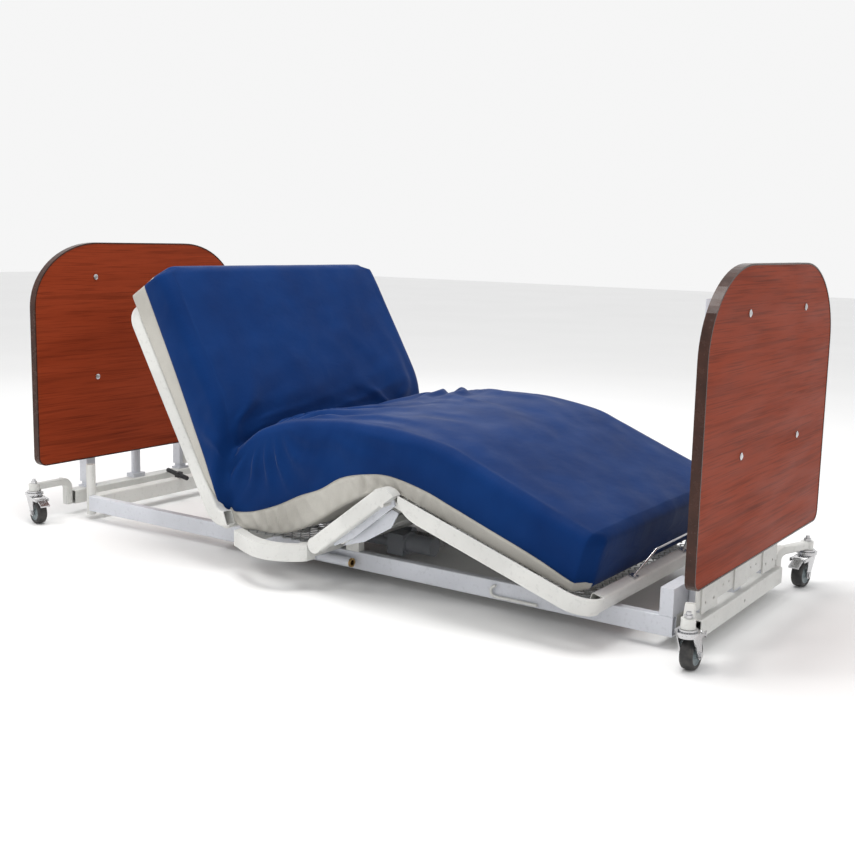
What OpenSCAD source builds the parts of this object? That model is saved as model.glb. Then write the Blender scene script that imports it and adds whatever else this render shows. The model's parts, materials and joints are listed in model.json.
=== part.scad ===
// Adjustable low hospital bed: two floor stands on swivel casters, a deck frame that rides up
// and down on them, and a four-section deck with a mattress between wooden end panels.
// X runs from head to foot, Y from the near side to the far side, Z up from the floor.

/* [Deck posture] */
// Angle of the raised back section above level
back_angle = 60; // [50:1:60]
// Angle of the raised thigh section above level
thigh_angle = 37.5; // [34:0.5:38]
// Downward slope of the calf section
calf_drop = 18; // [15:0.5:18]

/* [Deck sections] */
// Half width over the deck's side bars
deck_half_w = 493; // [492:1:496]
// Width of the deck bars
bar_w = 34; // [30:1:36]
// Depth of the deck bars
bar_d = 44; // [40:1:46]
// Radius of the rounded deck corners, at the middle of the bar
corner_r = 55; // [45:1:80]
// Back hinge to the outer face of the head end bar
back_len = 705; // [690:1:708]
// Thigh hinge to knee hinge
thigh_len = 262; // [255:1:270]
// Knee hinge to the middle of the foot end bar
calf_len = 597.5; // [590:0.5:600]

/* [Deck frame] */
// Half width over the side rails
rail_half_w = 325; // [320:1:330]
// Height of the rails' underside, fully lowered
rail_z = 32; // [30:1:34]
// Height of the rail section
rail_h = 50; // [46:1:50]
// Height of the deck hinges, fully lowered
hinge_z = 132; // [132:0.5:134]

/* [End panels] */
// Width of the end panels and of the mattress
panel_w = 914; // [900:1:930]
// Height of the end panels
panel_h = 720; // [700:5:760]
// Thickness of the end panels
panel_t = 22; // [18:1:25]
// Underside of the end panels above the floor
panel_z = 189; // [180:1:200]
// Rounding of the panels' top corners along the width
panel_rx = 260; // [200:5:300]
// Rounding of the panels' top corners along the height
panel_rz = 210; // [150:5:240]

/* [Casters] */
// Wheel radius
wheel_r = 37.5; // [35:0.5:38]
// Wheel width
wheel_w = 32; // [28:1:34]
// Horizontal offset of the axle from the swivel axis
trail = 28; // [24:1:30]

/* [Mattress] */
// Thickness at the head and foot ends
mattress_t = 165; // [140:5:165]

/* [Hidden] */
$fn = 48;

cream = [0.90, 0.90, 0.87];
lilac = [0.76, 0.77, 0.82];
cherry = [0.48, 0.18, 0.11];
dark = [0.10, 0.07, 0.07];
steel = [0.75, 0.75, 0.78];
mattress_blue = [0.10, 0.22, 0.52];

wall = 2.5;
run_gap = 0.05;
rail_t = 25;
rail_top = rail_z + rail_h;
bar_y = deck_half_w - bar_w / 2;
back_x = -259;
thigh_x = 94.7;
knee_x = thigh_x + thigh_len * cos(thigh_angle) + bar_d / 2 * sin(thigh_angle);
knee_z = hinge_z + thigh_len * sin(thigh_angle) - bar_d / 2 * cos(thigh_angle);

// The mesh lies below the tops of the bars, and the mattress lies on the mesh
mesh_t = 3;
mesh_top = -8;
mattress_gap = 0.5;
cross_d = 24;
torque_r = 16;

// End panels, sleeves and the floor stands
head_panel_x = -1106;
foot_panel_x = 1122;
bolt_y = 210;
bolt_z = [463, 796];
head_sleeve_x = -1137.5;
foot_sleeve_x = 1066;
sleeve_y = 216.5;
sleeve_w = 40;
sleeve_top = 825;
sleeve_floor = 100;
post_w = 30;
post_top = 780;
stand_half_w = 296;
stand_w = 50;
stand_h = 46;
stand_z = 36;
stand_top = stand_z + stand_h;
lift_tube_r = 16;
lift_tube_top = 745;
lift_rod_r = 11;
head_beam_centre = -1130;
foot_beam_centre = 1082;
foot_beam_z = stand_z - 4;

// Frame ends
socket_x = -1018;
socket_y = 303;
socket_r = 15;
socket_top = 184;
socket_foot = rail_z - 16;
iv_bore_r = 10;
head_beam_x = -1010;
head_rail_x = socket_x + socket_r;
foot_rail_x = foot_sleeve_x - sleeve_w / 2;

// Casters: swivel axis positions and the direction in which each wheel trails
caster_boss_z = [104, 127];
head_stem = [-1128, 445];
foot_stem = [1129, 440];
stem_r = 6;
axle_r = 5;
fork_gap = 19;
fork_t = 3;
pedal_u = 20;
pedal_z = 84;

// Cranks under the torque tubes, driven by the slotted ends of the actuator rods
crank_r = 90;
crank_pin_r = 7;
rod_r = 9;
rod_z = 48;
back_rod_y = -60;
knee_rod_y = 60;

// ---------------------------------------------------------------- helpers

module rounded_rect(w, h, r) {
    square([w - 2 * r, h], center = true);
    square([w, h - 2 * r], center = true);
    for (sx = [-1, 1], sy = [-1, 1])
        translate([sx * (w / 2 - r), sy * (h / 2 - r)]) circle(r = r);
}

module tube_profile(w, h, r = 5) {
    difference() {
        rounded_rect(w, h, r);
        rounded_rect(w - 2 * wall, h - 2 * wall, r - wall);
    }
}

// Rectangular tube along X from x0 to x1, w wide in Y and h high, centred on y and z
module tube_x(x0, x1, y, z, w, h, r = 5) {
    translate([x0, y, z]) rotate([90, 0, 90]) linear_extrude(x1 - x0) tube_profile(w, h, r);
}

// Rectangular tube along Y from y0 to y1, w wide in X and h high
module tube_y(y0, y1, x, z, w, h, r = 5) {
    translate([x, y1, z]) rotate([90, 0, 0]) linear_extrude(y1 - y0) tube_profile(w, h, r);
}

// Rectangular tube along Z, w wide in X and d in Y
module tube_z(z0, z1, x, y, w, d, r = 5) {
    translate([x, y, z0]) linear_extrude(z1 - z0) tube_profile(w, d, r);
}

module rod_y(y0, y1, x, z, r) {
    translate([x, y1, z]) rotate([90, 0, 0]) cylinder(r = r, h = y1 - y0);
}

module rod_x(x0, x1, y, z, r) {
    translate([x0, y, z]) rotate([0, 90, 0]) cylinder(r = r, h = x1 - x0);
}

module box(x, y, z) {
    translate([x[0], y[0], z[0]]) cube([x[1] - x[0], y[1] - y[0], z[1] - z[0]]);
}

module both_sides() {
    children();
    mirror([0, 1, 0]) children();
}

// The back section is drawn level, running from its hinge towards the head
module place_back() {
    translate([back_x, 0, hinge_z]) rotate([0, back_angle, 0]) mirror([1, 0, 0]) children();
}

module place_thigh() {
    translate([thigh_x, 0, hinge_z]) rotate([0, -thigh_angle, 0]) children();
}

// The calf section is drawn level with its knee hinge at the origin, under the bars
module place_calf() {
    translate([knee_x, 0, knee_z]) rotate([0, calf_drop, 0]) children();
}

// A U-shaped end: a bar across the bed at u with a quarter bend at each side
module end_bar(u, w) {
    tube_y(-bar_y + corner_r, bar_y - corner_r, u, w, bar_w, bar_d, 6);
    both_sides()
        translate([u - corner_r, bar_y - corner_r, w]) rotate_extrude(angle = 90)
            translate([corner_r, 0]) tube_profile(bar_w, bar_d, 6);
}

// Plan of a panel from u0 to u1, half_w to each side, with the corners at u1 rounded
module end_rounded_plan(u0, u1, half_w, r) {
    translate([u0, -half_w]) square([u1 - r - u0, 2 * half_w]);
    translate([u0, r - half_w]) square([u1 - u0, 2 * (half_w - r)]);
    for (y = [r - half_w, half_w - r]) translate([u1 - r, y]) circle(r = r);
}

mesh_half_w = bar_y - bar_w / 2 - 1;
mesh_corner = corner_r - bar_w / 2 - 1;

// Expanded-metal sheet, drawn here as a plain plate with its top at w
module mesh_panel(u0, u1, w, r = 6) {
    translate([0, 0, w - mesh_t]) linear_extrude(mesh_t) end_rounded_plan(u0, u1, mesh_half_w, r);
}

// ---------------------------------------------------------------- floor stands

module crossbeam(x, z) {
    tube_y(-stand_half_w, stand_half_w, x, z + stand_h / 2, stand_w, stand_h, 4);
}

module posts(x, z) {
    both_sides() {
        tube_z(z + 6, post_top, x, sleeve_y, post_w, post_w, 4);
        box([x - 19, x + 19], [sleeve_y - 24, sleeve_y + 24], [z, z + 6]);
    }
}

// Swan-neck arm: up from the end of the crossbeam, over, and out to the caster boss
module caster_arm(beam, stem) {
    bend = 26;
    tube_w = 26;
    arm_z = (caster_boss_z[0] + caster_boss_z[1]) / 2;
    start = [beam[0], -stand_half_w - tube_w / 2];
    reach = [stem[0] - start[0], -stem[1] - start[1]];
    turn = atan2(reach[1], reach[0]);
    span = norm(reach);
    translate([start[0], start[1], 0]) rotate([0, 0, turn]) {
        translate([0, 0, beam[1]]) linear_extrude(arm_z - bend - beam[1]) rounded_rect(tube_w, tube_w, 6);
        translate([bend, 0, arm_z - bend]) rotate([90, 0, 180])
            rotate_extrude(angle = 90) translate([bend, 0]) rounded_rect(tube_w, tube_w, 6);
        translate([bend, 0, arm_z]) rotate([90, 0, 90])
            linear_extrude(span - bend - 12) rounded_rect(tube_w, 22, 6);
    }
    difference() {
        translate([stem[0], -stem[1], caster_boss_z[0]])
            cylinder(r = 17, h = caster_boss_z[1] - caster_boss_z[0]);
        translate([stem[0], -stem[1], 0]) cylinder(r = stem_r + run_gap, h = 300);
    }
}

module caster_arms(beam, stem) {
    both_sides() difference() {
        caster_arm(beam, stem);
        translate([stem[0], -stem[1], 0]) cylinder(r = stem_r + run_gap, h = 300);
        box([beam[0] - stand_w, beam[0] + stand_w], [-stand_half_w, 0], [beam[1] - 1, beam[1] + stand_h + 1]);
    }
}

module lift_tube(x, z) {
    difference() {
        union() {
            translate([x, 0, z + 12]) cylinder(r = lift_tube_r, h = lift_tube_top - z - 12);
            box([x - 19, x + 19], [-26, 26], [z, z + 14]);
        }
        translate([x, 0, z + 14]) cylinder(r = lift_rod_r + 1, h = post_top);
    }
}

// The bolt hole in the middle of each crossbeam goes right through
module drilled_crossbeam(x, z) {
    difference() {
        crossbeam(x, z);
        rod_x(x - 40, x + 40, 0, z + stand_h / 2, 4.2);
    }
}

module head_crossbeam() color(cream) drilled_crossbeam(head_beam_centre, stand_z);
module head_posts() color(lilac) {
    posts(head_sleeve_x, stand_top);
    lift_tube(head_sleeve_x, stand_top);
}
module head_caster_arms() color(cream) caster_arms([head_beam_centre, stand_z], head_stem);
module foot_crossbeam() color(cream) drilled_crossbeam(foot_beam_centre, foot_beam_z);
module foot_posts() color(lilac) {
    posts(foot_sleeve_x, foot_beam_z + stand_h);
    lift_tube(foot_sleeve_x, foot_beam_z + stand_h);
}
module foot_caster_arms() color(cream) caster_arms([foot_beam_centre, foot_beam_z], foot_stem);

// ---------------------------------------------------------------- deck frame

module side_rails() color(lilac) both_sides()
    tube_x(head_rail_x, foot_rail_x, rail_half_w - rail_t / 2, rail_z + rail_h / 2, rail_t, rail_h, 3);

module head_end_beam() color(cream) difference() {
    union() {
        tube_y(rail_t - rail_half_w, rail_half_w - rail_t, head_beam_x, rail_z + rail_h / 2, 40, rail_h, 5);
        // Plates from the frame's corners out to the sleeves
        both_sides() linear_extrude_between(102, 152) polygon([
            [head_sleeve_x + sleeve_w / 2, sleeve_y - 6], [head_sleeve_x + sleeve_w / 2, sleeve_y + 6],
            [socket_x - 10, socket_y + 4], [socket_x - 4, socket_y - 8]]);
    }
    both_sides() translate([socket_x, socket_y, 0]) cylinder(r = socket_r, h = 300);
}

module linear_extrude_between(z0, z1) {
    translate([0, 0, z0]) linear_extrude(z1 - z0) children();
}

module cross_beams() color(cream) {
    tube_y(rail_t - rail_half_w, rail_half_w - rail_t, foot_rail_x - 25, rail_z + rail_h / 2, 50, rail_h, 4);
    for (x = [-420, 620])
        tube_y(rail_t - rail_half_w, rail_half_w - rail_t, x, rail_z + 20, 40, 40, 4);
}

module sleeve(x, z) {
    difference() {
        tube_z(z, sleeve_top, x, sleeve_y, sleeve_w, sleeve_w, 5);
        translate([x, sleeve_y, z - 1]) linear_extrude(sleeve_top) square(post_w + 4, center = true);
    }
}

module lift_sleeves() color(lilac) both_sides() {
    sleeve(head_sleeve_x, sleeve_floor);
    sleeve(foot_sleeve_x, sleeve_floor - 6);
}

// Gussets from the frame's foot corners to the sleeves
module foot_gussets() color(lilac) both_sides()
    box([foot_rail_x - 34, foot_rail_x], [sleeve_y - 17, rail_half_w], [rail_top, 150]);

// Perforated plate across the sleeves, with a guide plate on each sleeve
module foot_cross_plate() {
    plate_x = foot_sleeve_x + sleeve_w / 2;
    color(cream) difference() {
        box([plate_x, plate_x + 4], [-292, 292], [98, 186]);
        for (i = [-3:3]) rod_x(plate_x - 5, plate_x + 10, i * 40, 122, 4);
        for (i = [-2, 2]) rod_x(plate_x - 5, plate_x + 10, i * 40, 150, 6);
    }
    color(lilac) both_sides() difference() {
        box([plate_x + 4, plate_x + 8], [165, 269], [84, 186]);
        for (y = [190, 244]) rod_x(plate_x - 5, plate_x + 20, y, 108, 4);
    }
    color(lilac) box([plate_x + 4, plate_x + 8], [-48, 48], [92, 186]);
}

function corner_arc(cx, cz, rx, rz, a0, a1, n) =
    [for (i = [0:n]) let (a = a0 + (a1 - a0) * i / n) [cx + rx * cos(a), cz + rz * sin(a)]];

// Panel outline, drawn in by inset: small lower corners, large soft upper corners
function panel_outline(inset, small_r = 30) =
    let (w = panel_w / 2 - inset, top = panel_h - inset, rx = panel_rx - inset,
         rz = panel_rz - inset, r = small_r - inset)
    concat(
        corner_arc(w - rx, top - rz, rx, rz, 0, 90, 18),
        corner_arc(rx - w, top - rz, rx, rz, 90, 180, 18),
        corner_arc(r - w, inset + r, r, r, 180, 270, 6),
        corner_arc(w - r, inset + r, r, r, 270, 360, 6));

edge_t = 4;

module panel(x) {
    difference() {
        translate([x, 0, panel_z]) rotate([90, 0, 90]) linear_extrude(panel_t)
            polygon(panel_outline(edge_t));
        for (y = [-bolt_y, bolt_y], z = bolt_z) rod_x(x - 5, x + 40, y, z, 4.5);
    }
}

module panel_edge(x) {
    translate([x - 1, 0, panel_z]) rotate([90, 0, 90]) linear_extrude(panel_t + 2) difference() {
        polygon(panel_outline(0));
        polygon(panel_outline(edge_t));
    }
}

module end_panels() color(cherry) {
    panel(head_panel_x);
    panel(foot_panel_x);
}

module panel_edges() color(dark) {
    panel_edge(head_panel_x);
    panel_edge(foot_panel_x);
}

// Round-headed bolt along X, its head against the face at x, its shank running towards -side
module panel_bolt(x, y, z, side, shank) {
    translate([x, y, z]) rotate([0, side * 90, 0]) {
        cylinder(r = 9, h = 2.5);
        translate([0, 0, 2.5]) cylinder(r1 = 9, r2 = 5, h = 2);
        translate([0, 0, -shank]) cylinder(r = 4.4, h = shank);
    }
}

module panel_bolts() color(steel) for (y = [-bolt_y, bolt_y], z = bolt_z) {
    panel_bolt(head_panel_x + panel_t, y, z, 1, panel_t + 7);
    panel_bolt(foot_panel_x + panel_t, y, z, 1, panel_t + 20);
}

module panel_spacers() color(lilac) both_sides() for (z = bolt_z) {
    difference() {
        box([head_sleeve_x + sleeve_w / 2, head_panel_x], [bolt_y - 20, bolt_y + 20], [z - 25, z + 25]);
        rod_x(head_panel_x - 40, head_panel_x + 1, bolt_y, z, 4.6);
    }
    difference() {
        box([foot_sleeve_x + sleeve_w / 2, foot_panel_x], [bolt_y - 20, bolt_y + 20], [z - 25, z + 25]);
        rod_x(foot_panel_x - 60, foot_panel_x + 1, bolt_y, z, 4.6);
    }
}

// Inner rods of the lift actuators, hung from a bridge between each pair of sleeves
module lift_rods() color(steel) for (x = [head_sleeve_x, foot_sleeve_x]) {
    translate([x, 0, 150]) cylinder(r = lift_rod_r, h = sleeve_top - 30 - 150);
    box([x - 14, x + 14], [sleeve_w / 2 - sleeve_y, sleeve_y - sleeve_w / 2],
        [sleeve_top - 40, sleeve_top - 5]);
}

module iv_sockets() color(cream) both_sides() difference() {
    translate([socket_x, socket_y, socket_foot]) cylinder(r = socket_r, h = socket_top - socket_foot);
    translate([socket_x, socket_y, rail_z + 12]) cylinder(r = iv_bore_r, h = 300);
}

assist_x = [-5, 106];
assist_y = rail_half_w + 20;
assist_z = 55;

module assist_sockets() color(lilac) both_sides() difference() {
    union() {
        rod_x(assist_x[0], assist_x[1], assist_y, assist_z, 13);
        box([assist_x[0] + 8, assist_x[0] + 34], [rail_half_w, assist_y], [assist_z - 8, assist_z + 8]);
        box([assist_x[1] - 44, assist_x[1] - 18], [rail_half_w, assist_y], [assist_z - 8, assist_z + 8]);
    }
    rod_x(assist_x[0] - 1, assist_x[1] + 1, assist_y, assist_z, 10);
}

module socket_bushings() color([0.65, 0.45, 0.22]) both_sides() difference() {
    union() {
        rod_x(assist_x[1] - 30, assist_x[1], assist_y, assist_z, 10);
        rod_x(assist_x[1], assist_x[1] + 5, assist_y, assist_z, 13);
    }
    rod_x(assist_x[1] - 31, assist_x[1] + 6, assist_y, assist_z, 8);
}

// Drainage bag hook: a rod beside the rail with its head end curled up
module bag_hooks() color(cream) both_sides() {
    hook_r = 4;
    curl = 14;
    y = rail_half_w + 7;
    rod_x(566, 688, y, 42, hook_r);
    translate([566, y, 42 + curl]) rotate([90, 0, 0]) rotate([0, 0, 90]) rotate_extrude(angle = 180)
        translate([curl, 0]) circle(r = hook_r);
    for (x = [600, 680]) box([x - 5, x + 5], [rail_half_w, y], [39, 45]);
}

// Bearing blocks on the rails carry the torque tubes of the back and thigh sections
module bearing_block(x) {
    both_sides() difference() {
        union() {
            box([x - 22, x + 22], [rail_half_w - rail_t, rail_half_w], [rail_top, hinge_z]);
            rod_y(rail_half_w - rail_t, rail_half_w, x, hinge_z, 24);
        }
        rod_y(0, 400, x, hinge_z, torque_r + run_gap);
    }
}

seat_bar_z = 106;
seat_cross_x = [-194, 35];
seat_cross_h = 39;
seat_top = rail_top + seat_cross_h;

module seat_cross_bars() color(cream) {
    difference() {
        for (end = [0, 1]) {
            half = bar_y + bar_w * (end - 0.5);
            tube_y(-half, half, seat_cross_x[end], rail_top + seat_cross_h / 2, 36, seat_cross_h, 4);
        }
        seat_side_solids();
    }
}

module bearing_blocks() color(cream) {
    bearing_block(back_x);
    bearing_block(thigh_x);
}

// The seat's side bars bow outwards in plan, most of all just behind the thigh hinge
seat_bow = 58;
seat_x = [-195, thigh_x - bar_d / 2 - 2];
function bow_y(t) = seat_bow * pow(sin(180 * pow(t, 1.3)), 0.8);

module seat_side_solids() {
    steps = 24;
    span = seat_x[1] - seat_x[0];
    both_sides() linear_extrude_between(seat_bar_z - bar_d / 2, seat_bar_z + bar_d / 2) polygon(concat(
        [for (i = [0:steps]) [seat_x[0] + span * i / steps, bar_y - bar_w / 2 + bow_y(i / steps)]],
        [for (i = [steps:-1:0]) [seat_x[0] + span * i / steps, bar_y + bar_w / 2 + bow_y(i / steps)]]));
}

module seat_side_bars() color(cream) seat_side_solids();

module seat_mesh() color(steel)
    translate([0, 0, seat_top + mesh_t]) mesh_panel(seat_cross_x[0] - 16, seat_cross_x[1] + 16, 0);

// Ribbed conduit that crosses the head end beam through a gland
module cable_conduit() color(dark) {
    outer_r = 8;
    z = rail_top + outer_r + 0.5;
    start = [-1104, 123];
    finish = [-940, 58];
    length = norm(finish - start);
    ribs = 16;
    pitch = length / ribs;
    translate([start[0], start[1], z]) rotate([0, 0, atan2(finish[1] - start[1], finish[0] - start[0])])
        rotate([0, 90, 0]) {
            cylinder(r = outer_r - 1.5, h = length);
            for (i = [0:ribs - 1]) translate([0, 0, (i + 0.25) * pitch]) cylinder(r = outer_r, h = pitch / 2);
        }
    gland_y = start[1] + (finish[1] - start[1]) * (head_beam_x - start[0]) / (finish[0] - start[0]);
    box([head_beam_x - 9, head_beam_x + 9], [gland_y - 11, gland_y + 11], [rail_top, z + outer_r + 2]);
}

// ---------------------------------------------------------------- deck sections

module side_bars(u0, u1, w) {
    both_sides() {
        tube_x(u0, u1, bar_y, w, bar_w, bar_d, 6);
    }
}

// The lower ends of the side bars bend up, away from the seat
back_bend_u = 50;
back_bend_r = 45;

module back_side_bars() color(cream) place_back() {
    side_bars(back_bend_u, back_len - bar_w / 2 - corner_r, 0);
    both_sides() translate([back_bend_u, bar_y, back_bend_r]) rotate([90, 0, 0]) rotate([0, 0, 190])
        rotate_extrude(angle = 80) translate([back_bend_r, 0]) tube_profile(bar_d, bar_w, 6);
}

module back_end_bar() color(cream) place_back() end_bar(back_len - bar_w / 2, 0);

module torque_tube() {
    rod_y(-bar_y + bar_w / 2, bar_y - bar_w / 2, 0, 0, torque_r);
}

// Cross bars at the given places, stopping short of the side bars by end_gap
module section_cross_bars(places, end_gap = 0) {
    half = bar_y - bar_w / 2 - end_gap;
    for (u = places) tube_y(-half, half, u, mesh_top - mesh_t - cross_d / 2, 36, cross_d, 4);
}

// Two crank plates from the tube to a pin, pointing along angle a in the section's own plane
module crank(y, a) {
    tip = [crank_r * cos(a), crank_r * sin(a)];
    for (s = [-1, 1]) translate([0, y + s * 17, 0]) rotate([90, 0, 0])
        linear_extrude(6, center = true) {
            circle(r = 24);
            translate(tip) circle(r = 12);
            rotate(a) translate([0, -11]) square([crank_r, 22]);
        }
    rod_y(y - 20, y + 20, tip[0], tip[1], crank_pin_r);
}

module back_cross_bars() color(cream) place_back() {
    torque_tube();
    section_cross_bars([200, 450]);
    crank(back_rod_y, -90 - back_angle / 2);
}

module back_mesh() color(steel) place_back() mesh_panel(40, back_len - bar_w - 1, mesh_top, mesh_corner);

knee_pin_r = 6;
plate_t = 5;

// Each side bar ends in a solid quarter disc about the knee pin
module thigh_side_bars() color(cream) place_thigh() {
    both_sides() rod_y(bar_y - bar_w / 2, bar_y + bar_w / 2, 0, 0, bar_d / 2);
    difference() {
        union() {
            side_bars(8, thigh_len, 0);
            both_sides() intersection() {
                rod_y(bar_y - bar_w / 2, bar_y + bar_w / 2, thigh_len, -bar_d / 2, bar_d);
                box([thigh_len, thigh_len + bar_d], [0, 600], [-bar_d / 2, bar_d / 2]);
            }
        }
        rod_y(-600, 600, thigh_len, -bar_d / 2, knee_pin_r);
    }
}

module thigh_cross_bars() color(cream) place_thigh() {
    torque_tube();
    section_cross_bars([70, 200], plate_t);
    rod_y(-bar_y - bar_w / 2, bar_y + bar_w / 2, thigh_len, -bar_d / 2, knee_pin_r);
    crank(knee_rod_y, -90 - thigh_angle / 2);
}

// Tapered plates: a pair closes the ends of the cross bars and carries the knee pin, and a deeper
// pair stands further in, under the cross bars
module thigh_plates() color(lilac) place_thigh() both_sides() {
    arm_top = mesh_top - mesh_t - cross_d;
    difference() {
        translate([0, bar_y - bar_w / 2, 0]) rotate([90, 0, 0]) linear_extrude(plate_t) polygon([
            [34, mesh_top - mesh_t], [thigh_len - 22, mesh_top - mesh_t], [thigh_len + 16, -bar_d / 2],
            [thigh_len + 10, arm_top - 2], [100, arm_top - 5], [34, arm_top + 8]]);
        rod_y(0, 600, thigh_len, -bar_d / 2, knee_pin_r + run_gap);
    }
    translate([0, 436, 0]) rotate([90, 0, 0]) linear_extrude(plate_t)
        polygon([[40, arm_top], [thigh_len - 20, arm_top], [thigh_len - 8, arm_top - 18],
            [thigh_len - 52, arm_top - 38], [110, arm_top - 26]]);
}

module thigh_mesh() color(steel) place_thigh() mesh_panel(40, thigh_len - 24, mesh_top);

calf_mid = bar_d / 2;

calf_nose = [38, 118];
calf_mesh_start = bar_d + 4;
angle_t = 5;
strap_t = 6;
strap_y = bar_y - bar_w / 2 - plate_t - 1;

// Section of the calf's side bars: an upright outer leg with a foot flange turned inwards
module angle_profile() {
    translate([bar_w / 2 - angle_t, -bar_d / 2]) square([angle_t, bar_d]);
    translate([-bar_w / 2, -bar_d / 2]) square([bar_w, angle_t - 1]);
}

// The upright legs have long rounded noses next to the knee
module calf_side_bars() color(cream) place_calf() translate([0, 0, calf_mid]) both_sides() {
    translate([calf_nose[1], bar_y, 0]) rotate([90, 0, 90])
        linear_extrude(calf_len - corner_r - calf_nose[1]) angle_profile();
    translate([calf_len - corner_r, bar_y - corner_r, 0]) rotate_extrude(angle = 90)
        translate([corner_r, 0]) angle_profile();
    translate([calf_nose[1], bar_y + bar_w / 2, bar_d / 2]) rotate([90, 0, 0]) linear_extrude(angle_t)
        intersection() {
            scale([(calf_nose[1] - calf_nose[0]) / bar_d, 1]) circle(r = bar_d);
            translate([calf_nose[0] - calf_nose[1], -bar_d]) square([calf_nose[1] - calf_nose[0], bar_d]);
        }
    // Hinge strap from the first cross bar to the knee pin
    difference() {
        translate([0, strap_y, -calf_mid]) rotate([90, 0, 0]) linear_extrude(strap_t) {
            circle(r = 12);
            translate([0, -7]) square([calf_cross_u[0] - 18, 14]);
        }
        rod_y(0, 600, 0, -calf_mid, knee_pin_r + run_gap);
    }
}

calf_cross_u = [150, 420];

module calf_end_bar() color(cream) place_calf() translate([0, 0, calf_mid]) {
    tube_y(corner_r - bar_y, bar_y - corner_r, calf_len, 0, bar_w, bar_d, 6);
    section_cross_bars(calf_cross_u);
}

module calf_mesh() color(steel) place_calf() translate([0, 0, calf_mid + mesh_top - mesh_t])
    linear_extrude(mesh_t)
        end_rounded_plan(calf_mesh_start, calf_len - bar_w / 2 - 1, bar_y + bar_w / 2 - angle_t - 1, 66);

// Bent wire that keeps the mattress from sliding off the foot end: one leg slopes, one is upright
module mattress_retainer() color(steel) place_calf() {
    wire_r = 3;
    foot = calf_mid + bar_d / 2;
    top = foot + 58;
    slope_y = [-225, -132];
    upright_y = 93;
    hull() {
        translate([calf_len, slope_y[0], foot + wire_r]) sphere(r = wire_r, $fn = 16);
        translate([calf_len, slope_y[1], top]) sphere(r = wire_r, $fn = 16);
    }
    rod_y(slope_y[1], upright_y, calf_len, top, wire_r);
    translate([calf_len, upright_y, foot]) cylinder(r = wire_r, h = top - foot);
    translate([calf_len, upright_y, top]) sphere(r = wire_r);
    for (y = [slope_y[0], upright_y]) box([calf_len - 10, calf_len + 10], [y - 12, y + 12], [foot, foot + 4]);
}

// ---------------------------------------------------------------- mattress

sit = mesh_top + mattress_gap;
mattress_back_end = 741;
mattress_calf_end = 568;
mattress_w = panel_w - 4;
back_pad_t = mattress_t - 8;

module pad(points) {
    rotate([90, 0, 0]) translate([0, 0, -mattress_w / 2]) linear_extrude(mattress_w) polygon(points);
}

pad_corner = 60;

module end_rounded_pad(points, u_end, half_w) {
    intersection() {
        rotate([90, 0, 0]) translate([0, 0, -half_w]) linear_extrude(2 * half_w) polygon(points);
        translate([0, 0, -50]) linear_extrude(300) end_rounded_plan(0, u_end, half_w, pad_corner);
    }
}

// Back: it lies on the bars and sinks between them, and is cut back at the fold to clear the seat
over_bar = bar_d / 2 + mattress_gap;
back_pad_half_w = deck_half_w + 3;
module mattress_back() color(mattress_blue) place_back() {
    pad([[30, sit], [540, sit], [600, over_bar], [600, over_bar + 20], [200, over_bar + 20],
        [30, over_bar]]);
    end_rounded_pad([[90, over_bar], [mattress_back_end, over_bar],
        [mattress_back_end, over_bar + back_pad_t],
        [225, over_bar + back_pad_t]], mattress_back_end, back_pad_half_w);
}

// Seat and thigh: the pad bridges the fold, so it is deeper here and lifts off the deck
seat_sit = seat_top + mesh_t + mattress_gap;
thigh_face = thigh_len + 0.5;
module mattress_seat() color(mattress_blue) pad([
    [-228, seat_sit], [-70, seat_sit], [75, 185], [75, 452], [-70, 432], [-198, 372]]);

module mattress_thigh() color(mattress_blue) place_thigh() pad([
    [29, 53], [141, 43], [250, sit], [thigh_face, sit], [thigh_face, 198], [190, 263]]);

module mattress_calf() color(mattress_blue) place_calf() translate([0, 0, calf_mid]) end_rounded_pad([
    [2, sit], [mattress_calf_end, sit], [mattress_calf_end, sit + mattress_t], [2, sit + mattress_t]],
    mattress_calf_end, mattress_w / 2);

// ---------------------------------------------------------------- actuators

// Housing, gearbox and motor in line, drawn along +X from the rod's mouth
module actuator(tube_len) {
    difference() {
        union() {
            rod_x(0, tube_len, 0, 0, 17);
            rod_x(-6, 8, 0, 0, 19);
            box([tube_len, tube_len + 56], [-30, 30], [-30, 33]);
            rod_x(tube_len + 56, tube_len + 64, 0, 6, 32);
            rod_x(tube_len + 64, tube_len + 150, 0, 6, 27);
        }
        rod_x(-10, tube_len - 10, 0, 0, rod_r + run_gap);
    }
}

// Each housing hangs from a seat cross bar
module back_actuator() color([0.55, 0.56, 0.60]) {
    translate([-180, back_rod_y, rod_z]) actuator(225);
    box([20, 50], [back_rod_y - 13, back_rod_y + 13], [rod_z + 12, rail_top]);
}

module knee_actuator() color([0.55, 0.56, 0.60]) {
    translate([30, knee_rod_y, rod_z]) mirror([1, 0, 0]) actuator(210);
    box([-210, -184], [knee_rod_y - 13, knee_rod_y + 13], [rod_z + 30, rail_top]);
}

// Rod with a slotted end that holds the crank pin and lets it rise and fall
module actuator_rod(len) {
    slot_h = 38;
    slot_w = 2 * crank_pin_r + 4;
    difference() {
        union() {
            rod_x(14, len, 0, 0, rod_r);
            box([-18, 18], [-13, 13], [-26, 26]);
        }
        box([-slot_w / 2, slot_w / 2], [-20, 20], [-slot_h / 2, slot_h / 2]);
    }
}

back_pin_x = back_x - crank_r * sin(back_angle / 2);
knee_pin_x = thigh_x + crank_r * sin(thigh_angle / 2);

module back_rod() color(steel) translate([back_pin_x, back_rod_y, rod_z]) actuator_rod(244);
module knee_rod() color(steel) translate([knee_pin_x, knee_rod_y, rod_z]) mirror([1, 0, 0]) actuator_rod(225);

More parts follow.
